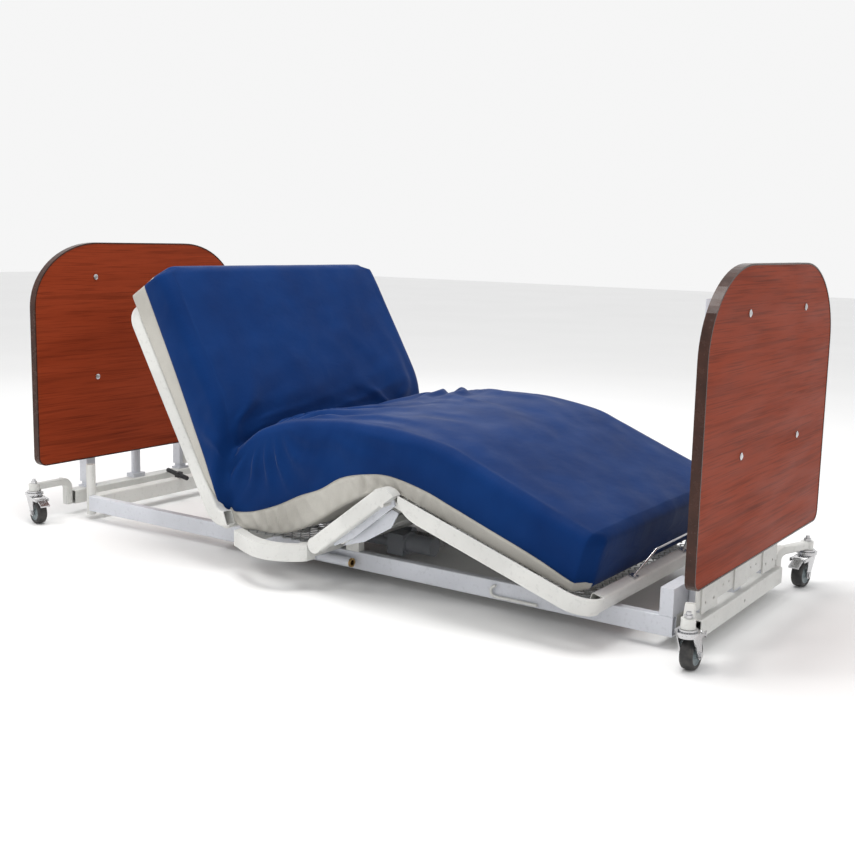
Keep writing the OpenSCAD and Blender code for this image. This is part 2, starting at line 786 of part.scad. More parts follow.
module control_box() color([0.30, 0.31, 0.33]) difference() {
    box([-400, -300], [-250, -90], [rail_z + 4, 96]);
    box([-380, -320], [-260, -246], [rail_z + 20, rail_z + 34]);
}

// ---------------------------------------------------------------- casters

module at_caster(stem, side, turn) {
    translate([stem[0], side * stem[1], 0]) rotate([0, 0, turn]) children();
}

module fork() {
    cylinder_top = caster_boss_z[0] - 0.4;
    color(steel) difference() {
        union() {
            // Swivel stem with its nut, raceway cups and crown
            translate([0, 0, 90]) cylinder(r = stem_r, h = 52);
            translate([0, 0, caster_boss_z[1] + 0.4]) cylinder(r = 10, h = 8, $fn = 6);
            translate([0, 0, cylinder_top - 5]) cylinder(r = 22, h = 5);
            translate([0, 0, cylinder_top - 12]) cylinder(r = 29, h = 6.5);
            translate([0, 0, cylinder_top - 15]) cylinder(r = 25, h = 3);
            hull() {
                translate([0, 0, cylinder_top - 19]) cylinder(r = 24, h = 4, $fn = 32);
                translate([trail - 6, 0, cylinder_top - 18]) cylinder(r = 16, h = 2, $fn = 32);
            }
            for (s = [-1, 1]) translate([0, s * (fork_gap + fork_t / 2), 0]) hull() {
                translate([trail, 0, wheel_r]) rotate([90, 0, 0])
                    cylinder(r = 11, h = fork_t, center = true, $fn = 32);
                translate([-12, -fork_t / 2, cylinder_top - 18]) cube([trail + 16, fork_t, 2]);
            }
            // Axle and its nuts
            rod_y(-fork_gap - 6, fork_gap + 6, trail, wheel_r, axle_r);
            for (s = [-1, 1]) translate([trail, s * (fork_gap + fork_t + 2), wheel_r])
                rotate([90, 0, 0]) cylinder(r = 8, h = 4, center = true, $fn = 6);
            // Ears for the brake pedal, beyond the wheel
            for (s = [-1, 1]) translate([trail - 8, s * (fork_gap + fork_t / 2) - fork_t / 2, pedal_z - 7])
                cube([pedal_u + 22, fork_t, 9]);
        }
        rod_y(-40, 40, trail + pedal_u + 6, pedal_z - 2, 2.6);
    }
}

module wheel() color([0.15, 0.15, 0.16])
    translate([trail, 0, wheel_r]) rotate([90, 0, 0]) rotate_extrude($fn = 64) polygon([
        [axle_r + run_gap, -wheel_w / 2], [11, -wheel_w / 2], [12, -wheel_w / 2 + 5],
        [24, -wheel_w / 2 + 5], [26, -wheel_w / 2 + 1], [32, -wheel_w / 2], [35.5, -wheel_w / 2 + 4],
        [wheel_r, -wheel_w / 2 + 10], [wheel_r, wheel_w / 2 - 10],
        [35.5, wheel_w / 2 - 4], [32, wheel_w / 2], [26, wheel_w / 2 - 1],
        [24, wheel_w / 2 - 5], [12, wheel_w / 2 - 5], [11, wheel_w / 2],
        [axle_r + run_gap, wheel_w / 2]]);

// Brake pedal on a cross pin between the fork's ears
module pedal() color(steel) {
    px = trail + pedal_u + 6;
    rod_y(-fork_gap - 4, fork_gap + 4, px, pedal_z - 2, 2.55);
    rod_y(-14, 14, px, pedal_z - 2, 5);
    translate([px, 0, pedal_z - 2]) rotate([0, 28, 0]) {
        translate([3, -15, -2]) cube([30, 30, 3]);
        translate([31, -15, -5]) cube([3, 30, 6]);
    }
}

head_near_turn = -14;
foot_near_turn = 90;
foot_far_turn = -97;

// ---------------------------------------------------------------- nodes

head_crossbeam();
head_posts();
head_caster_arms();
foot_crossbeam();
foot_posts();
foot_caster_arms();
side_rails();
head_end_beam();
cross_beams();
lift_sleeves();
foot_gussets();
foot_cross_plate();
end_panels();
bearing_blocks();
panel_edges();
panel_bolts();
panel_spacers();
lift_rods();
iv_sockets();
assist_sockets();
socket_bushings();
bag_hooks();
seat_cross_bars();
seat_side_bars();
seat_mesh();
cable_conduit();
mattress_seat();
back_actuator();
knee_actuator();
control_box();
back_side_bars();
back_end_bar();
back_cross_bars();
back_mesh();
mattress_back();
thigh_side_bars();
thigh_cross_bars();
thigh_plates();
thigh_mesh();
mattress_thigh();
calf_side_bars();
calf_end_bar();
calf_mesh();
mattress_retainer();
mattress_calf();
back_rod();
knee_rod();
at_caster(head_stem, -1, head_near_turn) fork();  // head_near_fork
at_caster(head_stem, -1, head_near_turn) wheel();  // head_near_wheel
at_caster(head_stem, -1, head_near_turn) pedal();  // head_near_pedal
at_caster(head_stem, 1, -head_near_turn) fork();  // head_far_fork
at_caster(head_stem, 1, -head_near_turn) wheel();  // head_far_wheel
at_caster(head_stem, 1, -head_near_turn) pedal();  // head_far_pedal
at_caster(foot_stem, -1, foot_near_turn) fork();  // foot_near_fork
at_caster(foot_stem, -1, foot_near_turn) wheel();  // foot_near_wheel
at_caster(foot_stem, -1, foot_near_turn) pedal();  // foot_near_pedal
at_caster(foot_stem, 1, foot_far_turn) fork();  // foot_far_fork
at_caster(foot_stem, 1, foot_far_turn) wheel();  // foot_far_wheel
at_caster(foot_stem, 1, foot_far_turn) pedal();  // foot_far_pedal
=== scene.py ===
"""Adjustable low hospital bed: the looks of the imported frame, in metres."""
import json
import math

import bmesh
import bpy
from mathutils import Matrix, Vector, noise


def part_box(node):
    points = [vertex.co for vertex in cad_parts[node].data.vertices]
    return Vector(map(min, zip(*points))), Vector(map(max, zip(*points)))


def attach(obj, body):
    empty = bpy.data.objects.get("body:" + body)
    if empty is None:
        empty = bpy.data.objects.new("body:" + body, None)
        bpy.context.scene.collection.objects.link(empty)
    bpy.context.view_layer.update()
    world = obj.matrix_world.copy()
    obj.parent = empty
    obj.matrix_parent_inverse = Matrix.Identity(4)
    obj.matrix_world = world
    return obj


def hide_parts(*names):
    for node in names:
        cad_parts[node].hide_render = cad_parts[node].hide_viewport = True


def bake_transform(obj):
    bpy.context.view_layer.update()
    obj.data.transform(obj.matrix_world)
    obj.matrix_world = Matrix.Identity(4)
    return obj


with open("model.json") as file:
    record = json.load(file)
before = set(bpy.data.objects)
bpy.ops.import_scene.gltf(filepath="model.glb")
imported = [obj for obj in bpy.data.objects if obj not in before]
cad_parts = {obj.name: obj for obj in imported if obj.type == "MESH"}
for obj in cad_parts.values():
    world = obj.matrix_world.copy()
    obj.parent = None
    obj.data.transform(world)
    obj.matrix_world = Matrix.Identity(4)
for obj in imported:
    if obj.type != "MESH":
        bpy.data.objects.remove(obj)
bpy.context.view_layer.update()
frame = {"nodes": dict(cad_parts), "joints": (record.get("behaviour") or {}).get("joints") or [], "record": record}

NODES = frame["nodes"]
JOINTS = {joint["name"]: joint for joint in frame["joints"]}
SLOT_OF = {part["node"]: part["material_slot"] for part in frame["record"]["subparts"]}

# Rest posture of the deck, in degrees
BACK_ANGLE = 60
THIGH_ANGLE = 37.5
CALF_DROP = 18
BAR_HALF_DEPTH = 0.022


# ------------------------------------------------------------ camera, floor, light

# Camera in metres, degrees and millimetres of lens
CAMERA_PLACE = (2.0684, -2.8868, 0.9520)
CAMERA_AZIMUTH, CAMERA_ELEVATION, CAMERA_ROLL = 34.03, 9.09, 1.311
CAMERA_LENS = 50.14


def make_camera():
    """Camera at the bed's near foot corner, a little above it, with a slight roll."""
    azimuth, elevation, roll = map(math.radians, (CAMERA_AZIMUTH, CAMERA_ELEVATION, CAMERA_ROLL))
    back = Vector((math.sin(azimuth) * math.cos(elevation), -math.cos(azimuth) * math.cos(elevation),
                   math.sin(elevation)))
    right = Vector((math.cos(azimuth), math.sin(azimuth), 0))
    up = back.cross(right)
    rolled_right = math.cos(roll) * right + math.sin(roll) * up
    rolled_up = math.cos(roll) * up - math.sin(roll) * right
    data = bpy.data.cameras.new("camera")
    data.sensor_width = 36
    data.lens = CAMERA_LENS
    camera = bpy.data.objects.new("camera", data)
    bpy.context.scene.collection.objects.link(camera)
    turn = Matrix((rolled_right, rolled_up, back)).transposed().to_4x4()
    camera.matrix_world = Matrix.Translation(CAMERA_PLACE) @ turn
    bpy.context.scene.camera = camera


def area_light(name, place, target, size, power, colour=(1, 1, 1)):
    data = bpy.data.lights.new(name, "AREA")
    data.shape = "DISK"
    data.size = size
    data.energy = power
    data.color = colour
    light = bpy.data.objects.new(name, data)
    light.location = place
    light.rotation_euler = (Vector(target) - Vector(place)).to_track_quat("-Z", "Y").to_euler()
    bpy.context.scene.collection.objects.link(light)


def make_studio():
    """White surroundings with one overhead light, a weak key from the left and a rim from behind."""
    world = bpy.data.worlds.new("studio")
    world.use_nodes = True
    background = world.node_tree.nodes["Background"]
    background.inputs["Color"].default_value = (1.0, 1.0, 1.0, 1)
    background.inputs["Strength"].default_value = 0.92
    bpy.context.scene.world = world
    bpy.context.scene.view_settings.view_transform = "Standard"
    area_light("overhead", (0.2, -0.4, 4.2), (0, 0, 0.3), 2.4, 95, (1.0, 0.99, 0.97))
    area_light("key", (-1.8, -2.6, 3.4), (0, 0, 0.3), 1.0, 34, (1.0, 0.985, 0.96))
    area_light("rim", (-2.4, 2.8, 2.4), (0, 0, 0.4), 1.2, 16, (0.96, 0.98, 1.0))
    bpy.ops.mesh.primitive_plane_add(size=40, location=(0, 0, 0))
    floor = bpy.context.object
    floor.name = "studio_floor"
    floor.data.materials.append(plain_floor())


# ------------------------------------------------------------ materials

def new_material(name, colour, roughness, metallic=0.0, coat=0.0, coat_roughness=0.1):
    """A Principled material with its uniform values on the shader's own sockets."""
    material = bpy.data.materials.new(name)
    material.use_nodes = True
    shader = material.node_tree.nodes["Principled BSDF"]
    shader.inputs["Base Color"].default_value = (*colour, 1)
    shader.inputs["Roughness"].default_value = roughness
    shader.inputs["Metallic"].default_value = metallic
    shader.inputs["Coat Weight"].default_value = coat
    shader.inputs["Coat Roughness"].default_value = coat_roughness
    return material, shader


def add(material, kind, **settings):
    node = material.node_tree.nodes.new(kind)
    for key, value in settings.items():
        if hasattr(node, key):
            setattr(node, key, value)
        else:
            node.inputs[key].default_value = value
    return node


def connect(material, source, target):
    material.node_tree.links.new(source, target)


def coordinates(material, stretch=(1, 1, 1), space="Object"):
    """Texture coordinates in metres, stretched per axis."""
    source = add(material, "ShaderNodeTexCoord")
    mapping = add(material, "ShaderNodeMapping", Scale=stretch)
    connect(material, source.outputs[space], mapping.inputs["Vector"])
    return mapping.outputs["Vector"]


def noise_value(material, scale, detail=3.0, stretch=(1, 1, 1), distortion=0.0, space="Object"):
    texture = add(material, "ShaderNodeTexNoise", Scale=scale, Detail=detail, Distortion=distortion)
    connect(material, coordinates(material, stretch, space), texture.inputs["Vector"])
    return texture.outputs["Fac"]


def ramp(material, value, stops):
    """A colour ramp through (position, (r, g, b)) stops."""
    node = add(material, "ShaderNodeValToRGB")
    connect(material, value, node.inputs["Fac"])
    elements = node.color_ramp.elements
    while len(elements) < len(stops):
        elements.new(0.5)
    for element, (position, colour) in zip(elements, stops):
        element.position = position
        element.color = (*colour, 1)
    return node.outputs["Color"]


def grey(value):
    return (value, value, value)


def multiply(material, first, second, factor=1.0):
    node = add(material, "ShaderNodeMix", data_type="RGBA", blend_type="MULTIPLY")
    node.inputs["Factor"].default_value = factor
    connect(material, first, node.inputs["A"])
    connect(material, second, node.inputs["B"])
    return node.outputs["Result"]


def bump(material, shader, height, strength, distance, previous=None):
    node = add(material, "ShaderNodeBump", Strength=strength, Distance=distance)
    connect(material, height, node.inputs["Height"])
    if previous is not None:
        connect(material, previous, node.inputs["Normal"])
    connect(material, node.outputs["Normal"], shader.inputs["Normal"])
    return node.outputs["Normal"]


def plain_floor():
    material, shader = new_material("floor_paper", (0.86, 0.86, 0.86), 0.75)
    shader.inputs["Specular IOR Level"].default_value = 0.1
    connect(material, ramp(material, noise_value(material, 0.8), [(0.3, grey(0.85)), (0.7, grey(0.87))]),
            shader.inputs["Base Color"])
    return material


def powder_coat(name, colour, roughness=0.38):
    """Satin powder coat: a fine orange peel, with faint handling marks and dirt in its colour."""
    material, shader = new_material(name, colour, roughness, coat=0.15, coat_roughness=0.25)
    dark = tuple(0.86 * c for c in colour)
    tint = ramp(material, noise_value(material, 5, 5), [(0.35, dark), (0.62, colour)])
    specks = ramp(material, noise_value(material, 90, 2), [(0.28, grey(0.90)), (0.42, grey(1.0))])
    connect(material, multiply(material, tint, specks), shader.inputs["Base Color"])
    connect(material, ramp(material, noise_value(material, 14, 4),
                           [(0.3, grey(roughness - 0.08)), (0.75, grey(roughness + 0.12))]),
            shader.inputs["Roughness"])
    bump(material, shader, noise_value(material, 700, 1), 0.10, 0.0006)
    return material


def wood_laminate():
    """Cherry laminate with its grain running across the panel, under a semi-gloss face."""
    material, shader = new_material("cherry_laminate", (0.20, 0.035, 0.014), 0.42)
    shader.inputs["Specular IOR Level"].default_value = 0.04
    broad = noise_value(material, 2.4, 4, (1, 0.35, 4.0), 0.7)
    flame = ramp(material, broad, [(0.30, (0.205, 0.030, 0.0100)), (0.46, (0.245, 0.037, 0.0125)),
                                   (0.58, (0.262, 0.041, 0.0145)), (0.74, (0.220, 0.032, 0.0110))])
    streaks = ramp(material, noise_value(material, 22, 6, (1, 0.10, 3.2), 0.35),
                   [(0.34, grey(0.70)), (0.50, grey(1.0)), (0.72, grey(0.88))])
    pores = ramp(material, noise_value(material, 120, 3, (1, 0.045, 3.0)),
                 [(0.36, grey(0.50)), (0.47, grey(1.0))])
    colour = multiply(material, multiply(material, flame, streaks, 0.85), pores, 0.6)
    connect(material, colour, shader.inputs["Base Color"])
    connect(material, ramp(material, noise_value(material, 9, 3, (1, 0.4, 2)),
                           [(0.3, grey(0.34)), (0.7, grey(0.48))]), shader.inputs["Roughness"])
    bump(material, shader, noise_value(material, 160, 3, (1, 0.05, 3.0)), 0.12, 0.0006)
    return material


def edge_band():
    """Dark moulded strip round the end panels."""
    material, shader = new_material("dark_edge", (0.020, 0.010, 0.008), 0.35)
    shader.inputs["Specular IOR Level"].default_value = 0.25
    connect(material, ramp(material, noise_value(material, 30, 3),
                           [(0.3, (0.030, 0.012, 0.008)), (0.7, (0.052, 0.020, 0.013))]),
            shader.inputs["Base Color"])
    connect(material, ramp(material, noise_value(material, 60, 3), [(0.3, grey(0.16)), (0.7, grey(0.32))]),
            shader.inputs["Roughness"])
    bump(material, shader, noise_value(material, 220, 2), 0.06, 0.0006)
    return material


def metal(name, colour, roughness, stretch=(1, 1, 1), scale=240):
    material, shader = new_material(name, colour, roughness, metallic=1.0)
    dark = tuple(0.78 * c for c in colour)
    connect(material, ramp(material, noise_value(material, 18, 4), [(0.32, dark), (0.6, colour)]),
            shader.inputs["Base Color"])
    connect(material, ramp(material, noise_value(material, scale, 3, stretch),
                           [(0.3, grey(max(roughness - 0.08, 0.05))), (0.7, grey(roughness + 0.12))]),
            shader.inputs["Roughness"])
    bump(material, shader, noise_value(material, scale, 2, stretch), 0.06, 0.0004)
    return material


def moulded_plastic(name, colour, roughness=0.5):
    material, shader = new_material(name, colour, roughness)
    light = tuple(1.25 * c for c in colour)
    connect(material, ramp(material, noise_value(material, 12, 4), [(0.35, colour), (0.7, light)]),
            shader.inputs["Base Color"])
    connect(material, ramp(material, noise_value(material, 40, 3),
                           [(0.3, grey(roughness - 0.08)), (0.7, grey(roughness + 0.1))]),
            shader.inputs["Roughness"])
    bump(material, shader, noise_value(material, 900, 2), 0.18, 0.0004)
    return material


def mattress_fabric(name, light, dark, roughness, sheen):
    """Coated stretch nylon: fine knit texture, soft highlights, faint cloudy variation."""
    material, shader = new_material(name, light, roughness)
    shader.inputs["Specular IOR Level"].default_value = 0.05
    shader.inputs["Sheen Weight"].default_value = sheen
    shader.inputs["Sheen Roughness"].default_value = 0.35
    clouds = ramp(material, noise_value(material, 5, 5, space="UV"), [(0.30, dark), (0.62, light)])
    knit = ramp(material, noise_value(material, 420, 2, (1, 1.8, 1), space="UV"),
                [(0.30, grey(0.88)), (0.60, grey(1.0))])
    connect(material, multiply(material, clouds, knit), shader.inputs["Base Color"])
    connect(material, ramp(material, noise_value(material, 11, 4, space="UV"),
                           [(0.3, grey(roughness - 0.07)), (0.7, grey(roughness + 0.09))]),
            shader.inputs["Roughness"])
    crumple = bump(material, shader, noise_value(material, 34, 5, (1, 0.6, 1), 0.6, "UV"), 0.16, 0.006)
    bump(material, shader, noise_value(material, 620, 2, (1, 1.8, 1), space="UV"), 0.16, 0.0006, crumple)
    return material


def tyre_rubber():
    """Black caster tread with a little floor dust."""
    material, shader = new_material("tyre_rubber", (0.020, 0.020, 0.021), 0.62)
    connect(material, ramp(material, noise_value(material, 60, 5),
                           [(0.35, (0.016, 0.016, 0.017)), (0.75, (0.055, 0.052, 0.048))]),
            shader.inputs["Base Color"])
    bump(material, shader, noise_value(material, 500, 3), 0.25, 0.0005)
    return material


BLUE_COVER = mattress_fabric("mattress_blue", (0.0035, 0.030, 0.135), (0.0025, 0.022, 0.105), 0.58, 0.10)
BEIGE_COVER = mattress_fabric("mattress_beige", (0.50, 0.485, 0.445), (0.41, 0.395, 0.36), 0.65, 0.10)
MATERIALS = {
    "frame_cream": powder_coat("frame_cream", (0.68, 0.68, 0.655)),
    "frame_grey": powder_coat("frame_grey", (0.63, 0.65, 0.70)),
    "cherry_laminate": wood_laminate(),
    "dark_edge": edge_band(),
    "bright_steel": metal("bright_steel", (0.62, 0.62, 0.63), 0.20),
    "bushing": metal("bushing", (0.52, 0.33, 0.13), 0.34),
    "mesh_steel": metal("mesh_steel", (0.40, 0.41, 0.42), 0.42, scale=400),
    "black_plastic": moulded_plastic("black_plastic", (0.022, 0.022, 0.024)),
    "mattress_cover": BLUE_COVER,
    "actuator_grey": moulded_plastic("actuator_grey", (0.30, 0.315, 0.345)),
    "wheel_tyre": tyre_rubber(),
}
HUB_GREY = moulded_plastic("hub_grey", (0.20, 0.235, 0.245), 0.42)

# Nodes with many sharp sheet or tube edges, which get a small machined radius
BEVELS = {
    "panel_edges": 0.0016, "head_end_beam": 0.0008, "foot_cross_plate": 0.0006, "panel_spacers": 0.0012,
    "seat_side_bars": 0.0030, "control_box": 0.0025, "lift_sleeves": 0.0008, "panel_bolts": 0.0006,
}


def finish_cad_nodes():
    """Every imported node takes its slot's material and, where named, a small edge radius."""
    for name, node in NODES.items():
        node.data.materials.clear()
        node.data.materials.append(MATERIALS[SLOT_OF[name]])
        if name in BEVELS:
            bevel = node.modifiers.new("edge_radius", "BEVEL")
            bevel.width = BEVELS[name]
            bevel.segments = 2
            bevel.limit_method = "ANGLE"
            bevel.angle_limit = math.radians(40)
            bevel.harden_normals = False


# ------------------------------------------------------------ mesh helpers

def mesh_object(name, vertices, faces, materials, indices=None, smooth_angle=40):
    mesh = bpy.data.meshes.new(name)
    mesh.from_pydata(vertices, [], faces)
    for material in materials:
        mesh.materials.append(material)
    if indices:
        mesh.polygons.foreach_set("material_index", indices)
    mesh.validate()
    mesh.update()
    piece = bpy.data.objects.new(name, mesh)
    bpy.context.scene.collection.objects.link(piece)
    build = bmesh.new()
    build.from_mesh(mesh)
    bmesh.ops.recalc_face_normals(build, faces=build.faces)
    build.to_mesh(mesh)
    build.free()
    mesh.shade_smooth()
    mesh.set_sharp_from_angle(angle=math.radians(smooth_angle))
    return piece


def catmull_rom(points, t):
    """Point at t, from 0 to len(points) - 1, on the smooth curve through the points."""
    last = len(points) - 1
    i = min(int(t), last - 1)
    f = t - i
    p0, p1, p2, p3 = (points[max(0, min(last, k))] for k in (i - 1, i, i + 1, i + 2))
    return 0.5 * (2 * p1 + (p2 - p0) * f + (2 * p0 - 5 * p1 + 4 * p2 - p3) * f ** 2
                  + (3 * p1 - p0 - 3 * p2 + p3) * f ** 3)


def bell(x, centre, width):
    return math.exp(-((x - centre) / width) ** 2)


# ------------------------------------------------------------ deck sections at rest

def section_point(hinge, angle, u, w, towards_head=False):
    """Point at u along a deck section from its hinge and w above its middle line, as (x, z)."""
    across, along = math.sin(math.radians(angle)), math.cos(math.radians(angle))
    if towards_head:
        return Vector((hinge[0] - u * along + w * across, hinge[2] + u * across + w * along))
    return Vector((hinge[0] + u * along - w * across, hinge[2] + u * across + w * along))


BACK_HINGE = JOINTS["back_hinge"]["pos_m"]
THIGH_HINGE = JOINTS["thigh_hinge"]["pos_m"]
KNEE_HINGE = JOINTS["knee_hinge"]["pos_m"]


def back_point(u, w):
    return section_point(BACK_HINGE, BACK_ANGLE, u, w, towards_head=True)


def thigh_point(u, w):
    return section_point(THIGH_HINGE, THIGH_ANGLE, u, w)


def calf_point(u, w):
    return section_point(KNEE_HINGE, -CALF_DROP, u, w + BAR_HALF_DEPTH)


# ------------------------------------------------------------ mattress

# Stations from the head end to the foot end: bottom edge, seam between beige and blue, top edge
MATTRESS_STATIONS = [
    (back_point(0.741, 0.0230), back_point(0.745, 0.088), back_point(0.738, 0.176)),
    (back_point(0.660, 0.0230), back_point(0.660, 0.084), back_point(0.660, 0.180)),
    (back_point(0.560, 0.0230), back_point(0.560, 0.079), back_point(0.560, 0.180)),
    (back_point(0.420, 0.0230), back_point(0.420, 0.071), back_point(0.420, 0.180)),
    (back_point(0.280, 0.0230), back_point(0.280, 0.060), back_point(0.300, 0.176)),
    (back_point(0.135, 0.0230), back_point(0.125, 0.045), back_point(0.225, 0.150)),
    (back_point(0.040, 0.0180), Vector((-0.268, 0.168)), Vector((-0.238, 0.352))),
    (Vector((-0.214, 0.1250)), Vector((-0.236, 0.166)), Vector((-0.206, 0.372))),
    (Vector((-0.150, 0.1245)), Vector((-0.162, 0.177)), Vector((-0.150, 0.412))),
    (Vector((-0.070, 0.1280)), Vector((-0.072, 0.208)), Vector((-0.075, 0.438))),
    (Vector((0.010, 0.1540)), Vector((0.008, 0.246)), Vector((0.000, 0.453))),
    (Vector((0.085, 0.1960)), Vector((0.080, 0.274)), Vector((0.070, 0.460))),
    (Vector((0.160, 0.2420)), Vector((0.150, 0.314)), Vector((0.140, 0.466))),
    (Vector((0.240, 0.2800)), Vector((0.228, 0.334)), Vector((0.220, 0.467))),
    (Vector((0.318, 0.2990)), Vector((0.310, 0.340)), Vector((0.312, 0.463))),
    (calf_point(0.080, 0.006), calf_point(0.080, 0.051), calf_point(0.085, 0.180)),
    (calf_point(0.170, 0.004), calf_point(0.170, 0.049), calf_point(0.175, 0.177)),
    (calf_point(0.280, 0.004), calf_point(0.280, 0.045), calf_point(0.280, 0.170)),
    (calf_point(0.420, 0.004), calf_point(0.420, 0.040), calf_point(0.420, 0.161)),
    (calf_point(0.520, 0.005), calf_point(0.520, 0.031), calf_point(0.515, 0.157)),
    (calf_point(0.567, 0.006), calf_point(0.567, 0.028), calf_point(0.560, 0.152)),
]

# Where things are along the mattress, in stations from the head end
FOLD_STATION = 6.2
STRAP_STATION = 6.75
KNEE_STATION = 14.2
SEAT_CUT = 9.0
THIGH_CUT = 12.5
STEPS_PER_STATION = 14

FOLD_S = 0.79             # the fold again, in metres of cloth from the head end
END_ROUND = 0.022         # rounding over the two free ends
PLAN_CORNER = 0.040       # corners of the pad seen from above
TOP_ROUND = 0.030
BOTTOM_ROUND = 0.010
SEAM_HALF = 0.0022
HALF_WIDTH = (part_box("mattress_seat")[1][1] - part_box("mattress_seat")[0][1]) / 2 - 0.004
BACK_HALF_WIDTH = 0.4965
BACK_SINK = 0.028         # how far the underside sinks between the bars of the back section


def smooth(x, start, end):
    """0 before start, 1 after end, and a soft step between."""
    f = min(max((x - start) / (end - start), 0.0), 1.0)
    return f * f * (3 - 2 * f)


def half_width_at(t):
    """The pad is wider on the back section, where it lies on the bars, than on the seat and calf."""
    return BACK_HALF_WIDTH + (HALF_WIDTH - BACK_HALF_WIDTH) * smooth(t, 4.8, 6.6)


def sink_at(t):
    """The underside sinks along the back section only, clear of its end bar and of the fold."""
    return BACK_SINK * smooth(t, 1.6, 2.4) * (1 - smooth(t, 4.5, 5.1))


def half_ring(height, seam, half_width, inset):
    """Near half of one cross-section, from the middle of the bottom up to the middle of the top.

    Each point is (distance up the side, distance from the middle, kind). The kinds are sunk and
    bottom on the underside, beige and blue on the side, and top."""
    top_round = max(TOP_ROUND - inset, 0.006)
    bottom_round = max(BOTTOM_ROUND - inset, 0.001)
    low, high, side = inset, height - inset, half_width - inset
    seam = min(max(seam, low + bottom_round + SEAM_HALF + 0.0005), high - top_round - 0.01)
    flat = side - bottom_round
    points = [(low, flat * f, "sunk") for f in (0, 0.15, 0.3, 0.45, 0.6, 0.75, 0.88, 0.915)]
    points += [(low, flat * f, "bottom") for f in (0.925, 0.96, 1.0)]
    for i in range(1, 4):
        angle = math.pi / 2 * i / 3
        points.append((low + bottom_round * (1 - math.cos(angle)),
                       side - bottom_round * (1 - math.sin(angle)), "bottom"))
    for i in range(1, 7):
        points.append((low + bottom_round + (seam - SEAM_HALF - low - bottom_round) * i / 6, side, "beige"))
    points.append((seam, side - 0.0022, "beige"))
    for i in range(0, 13):
        start = seam + SEAM_HALF
        points.append((start + (high - top_round - start) * i / 12, side, "blue"))
    for i in range(1, 7):
        angle = math.pi / 2 * i / 6
        points.append((high - top_round * (1 - math.sin(angle)), side - top_round * (1 - math.cos(angle)),
                       "blue"))
    for i in range(1, 47):
        points.append((high, (side - top_round) * (1 - i / 46), "top"))
    return points


def fold_ridges(value, sharpness=2.0):
    """Narrow raised folds with wide valleys between them, from 0 to 1."""
    return (0.5 + 0.5 * math.cos(value)) ** sharpness


def fan_folds(along, across, phase):
    """Folds that fan out from one end of the crease between back and seat, from about -0.4 to 0.6."""
    radius = math.hypot(along, across)
    wander = noise.noise((along * 6.0, across * 6.0, phase))
    ridges = fold_ridges(16 * math.atan2(along, across) + 4.5 * wander, 1.8) - 0.35
    return ridges * smooth(radius, 0.02, 0.16) * math.exp(-(radius / 0.36) ** 2)


def mattress_wrinkle(kind, t, s, up, out, side_sign, height, seam):
    """Offset of one skin point: (outwards from the side, up from the top)."""
    at_fold = bell(t, FOLD_STATION, 1.7)
    at_seat = bell(t, 9.4, 2.9)
    at_knee = bell(t, KNEE_STATION, 1.8)
    drift = noise.noise((s * 5.0, side_sign * 3.0, up * 4.0))
    from_fold = s - FOLD_S
    if kind == "sunk":
        return 0.0, -sink_at(t)
    if kind == "beige":
        share = math.sin(math.pi * min(max(up / max(seam, 0.01), 0), 1)) ** 0.5
        gathers = fold_ridges(2 * math.pi * (s + 0.45 * up) / 0.042 + 5.0 * drift, 2.2)
        minor = noise.noise((s * 42, side_sign * 5, up * 16))
        depth = 0.0012 + 0.0110 * at_seat + 0.0045 * at_knee
        strap = 0.007 * bell(t, STRAP_STATION, 0.20) ** 0.5
        pinch = 0.010 * bell(t, KNEE_STATION - 1.3, 0.10) + 0.006 * bell(t, KNEE_STATION - 0.75, 0.08)
        return share * (depth * (gathers - 0.4) + 0.0018 * minor + strap - pinch), 0.0
    if kind == "blue":
        share = (up - seam) / max(height - seam, 0.01)
        fade = math.sin(math.pi * min(max(share, 0), 1))
        soft = noise.noise((s * 9.0, side_sign * 7.0, up * 10.0))
        small = noise.noise((s * 30.0, side_sign * 7.0, up * 22.0))
        fan = fan_folds(from_fold, (height - up) * 1.4, side_sign)
        return fade * (0.004 + 0.014 * fan + 0.006 * at_knee * soft + 0.003 * soft + 0.0018 * small), 0.0
    if kind == "top":
        y = side_sign * out
        from_edge = half_width_at(t) - out
        edge = smooth(from_edge, 0.02, 0.13)
        inner = smooth(from_edge, TOP_ROUND, 0.10)
        fan = fan_folds(from_fold, from_edge, side_sign)
        wander = noise.noise((s * 3, y * 3, 0))
        creases = fold_ridges(2 * math.pi * (s + 0.22 * y) / 0.075 + 4.5 * wander, 1.8)
        diagonal = noise.noise((s * 13 + y * 7, y * 3.0 - s * 4, 3.0))
        broad = noise.noise((s * 3.0, y * 3.2, 8.0))
        fine = noise.noise((s * 21 + y * 6, y * 12, 1.0))
        near_fold = at_fold * (0.006 * (creases - 0.45) + 0.008 * diagonal)
        return 0.0, (0.004 * edge + 0.0045 * broad + edge * near_fold + 0.026 * inner * fan
                     + at_knee * 0.0045 * diagonal + 0.0018 * fine)
    return 0.0, 0.0


def mattress_samples():
    """(t, bottom, seam, top, distance from the head end) along the mattress."""
    steps = (len(MATTRESS_STATIONS) - 1) * STEPS_PER_STATION
    tracks = list(zip(*MATTRESS_STATIONS))
    samples = []
    travelled = 0.0
    before = None
    for i in range(steps + 1):
        t = i / STEPS_PER_STATION
        bottom, seam, top = (catmull_rom(track, t) for track in tracks)
        seam = seam + (top - seam).normalized() * 0.014 * bell(t, STRAP_STATION, 0.20)
        middle = (bottom + top) / 2
        travelled += (middle - before).length if before is not None else 0.0
        before = middle
        samples.append((t, bottom, seam, top, travelled))
    return samples


